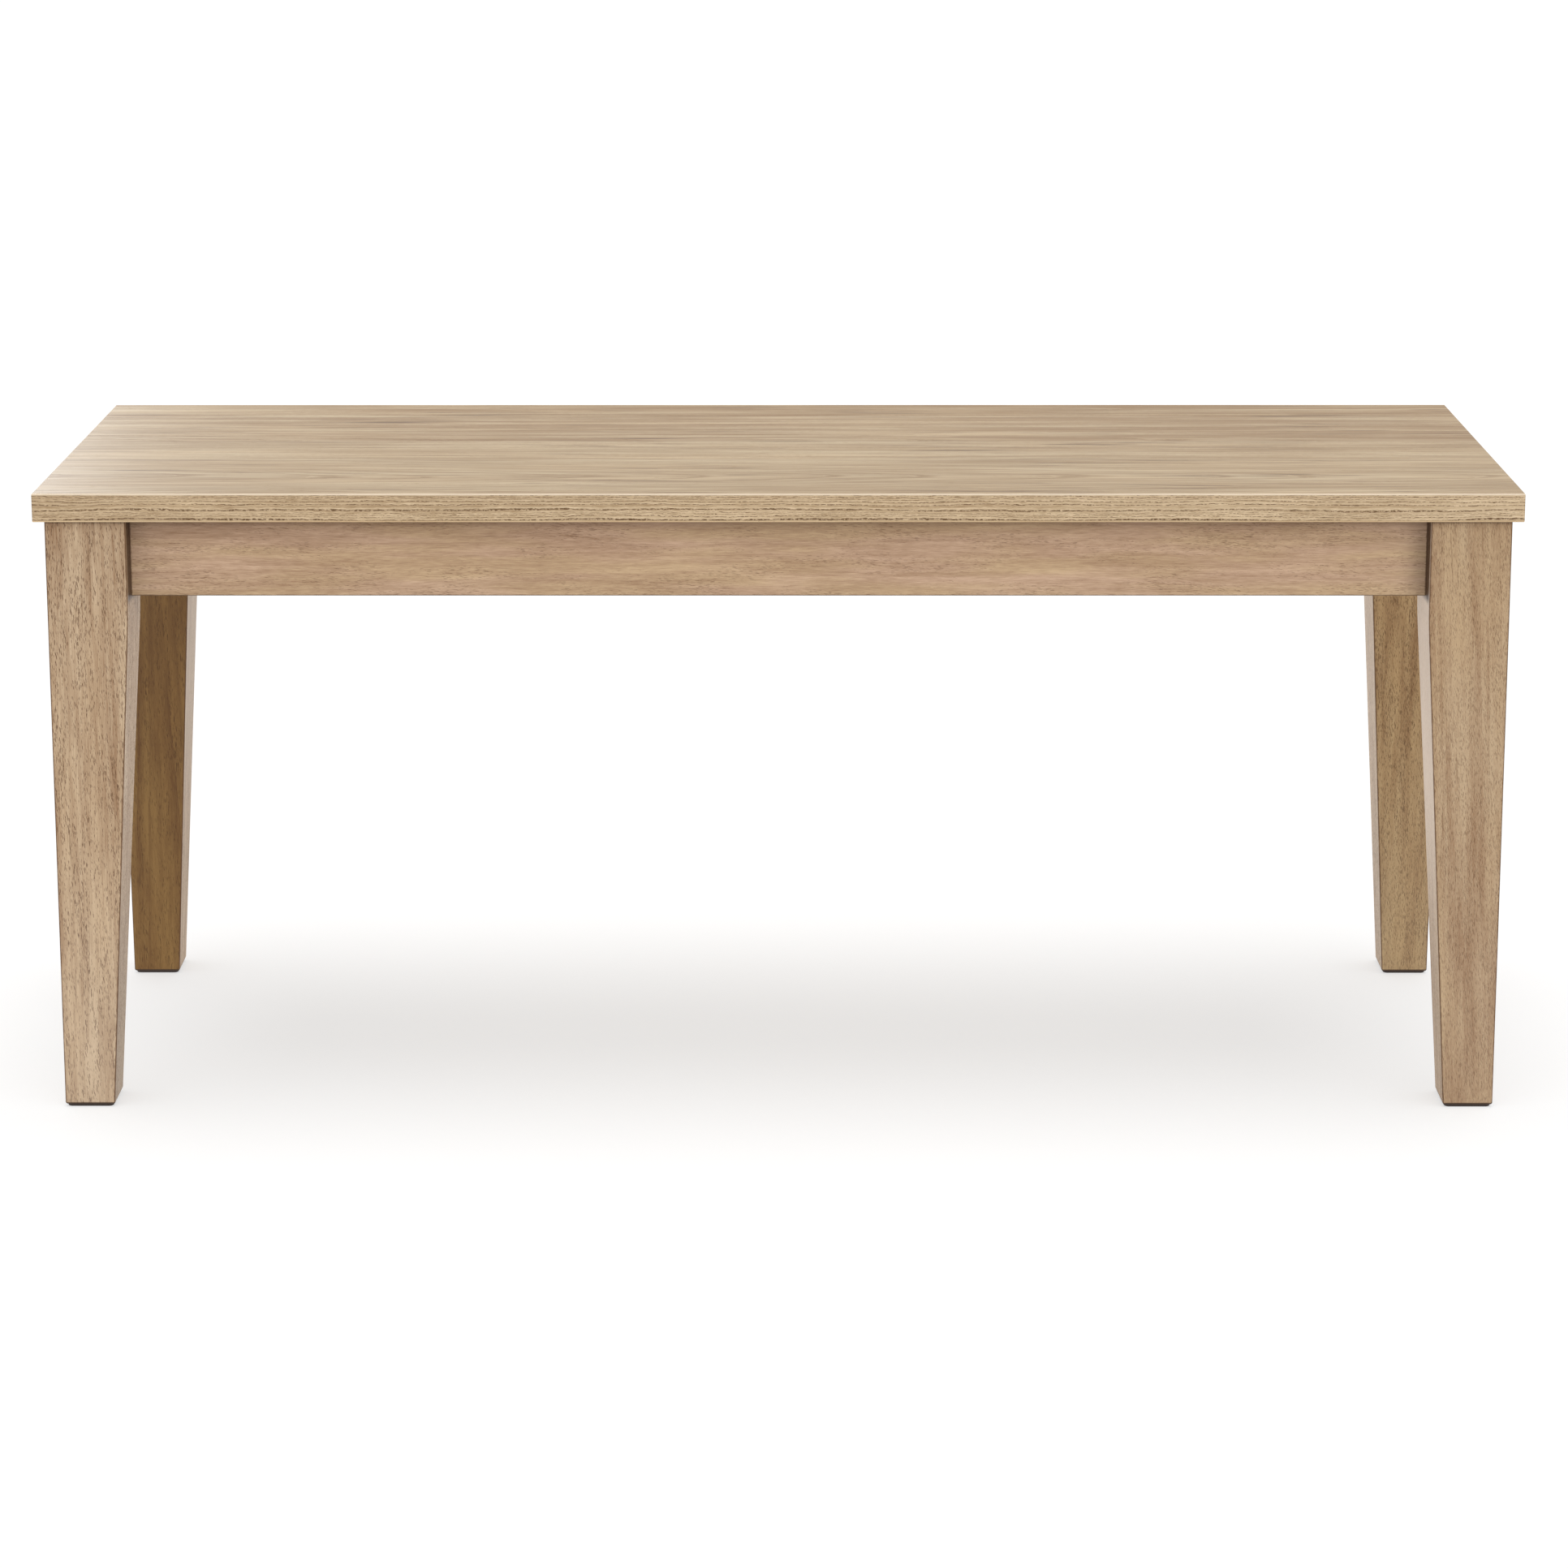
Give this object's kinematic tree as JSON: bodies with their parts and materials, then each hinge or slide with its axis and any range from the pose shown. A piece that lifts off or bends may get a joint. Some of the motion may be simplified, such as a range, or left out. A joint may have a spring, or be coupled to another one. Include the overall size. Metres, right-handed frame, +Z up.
{
  "type": "communion table",
  "caption": "Long rectangular wooden table with a veneered top, set-back aprons and four square legs that taper on their inner faces.",
  "frame": {"origin": "on the floor, under the middle of the top", "axes": "+X along the table, +Y from front to back, +Z up"},
  "size_m": [1.8, 0.63, 0.78],
  "materials": {
    "top_veneer": "satin lacquer over straight-grained light tan veneer",
    "edge_band": "satin lacquer, open-pored light oak",
    "leg_wood": "satin lacquer, open-pored tan wood",
    "apron_wood": "satin lacquer, pinkish tan wood with short pores",
    "frame_wood": "planed, uncoated hardwood",
    "core_board": "plain board core",
    "backing_veneer": "sealed plain veneer",
    "dowel_wood": "fluted beech dowel",
    "zinc_steel": "bright zinc plate",
    "screw_steel": "yellow zinc plate",
    "glide_plastic": "dark brown moulded plastic"
  },
  "bodies": {
    "root": {"apron_back": "apron_wood", "apron_dowels": "dowel_wood", "apron_front": "apron_wood", "apron_left": "apron_wood", "apron_right": "apron_wood", "backing_veneer": "backing_veneer", "brace_dowels": "dowel_wood", "corner_block_back_left": "frame_wood", "corner_block_back_right": "frame_wood", "corner_block_front_left": "frame_wood", "corner_block_front_right": "frame_wood", "corner_block_screws": "screw_steel", "cross_brace_left": "frame_wood", "cross_brace_right": "frame_wood", "edge_band_back": "edge_band", "edge_band_front": "edge_band", "edge_band_left": "edge_band", "edge_band_right": "edge_band", "face_veneer_back": "top_veneer", "face_veneer_front": "top_veneer", "face_veneer_mid_back": "top_veneer", "face_veneer_mid_front": "top_veneer", "foot_glide_back_left": "glide_plastic", "foot_glide_back_right": "glide_plastic", "foot_glide_front_left": "glide_plastic", "foot_glide_front_right": "glide_plastic", "glide_nails": "screw_steel", "hanger_bolts": "zinc_steel", "hanger_nuts": "zinc_steel", "hanger_washers": "zinc_steel", "leg_back_left": "leg_wood", "leg_back_right": "leg_wood", "leg_front_left": "leg_wood", "leg_front_right": "leg_wood", "top_core": "core_board", "top_screws": "screw_steel"}
  },
  "joints": []
}
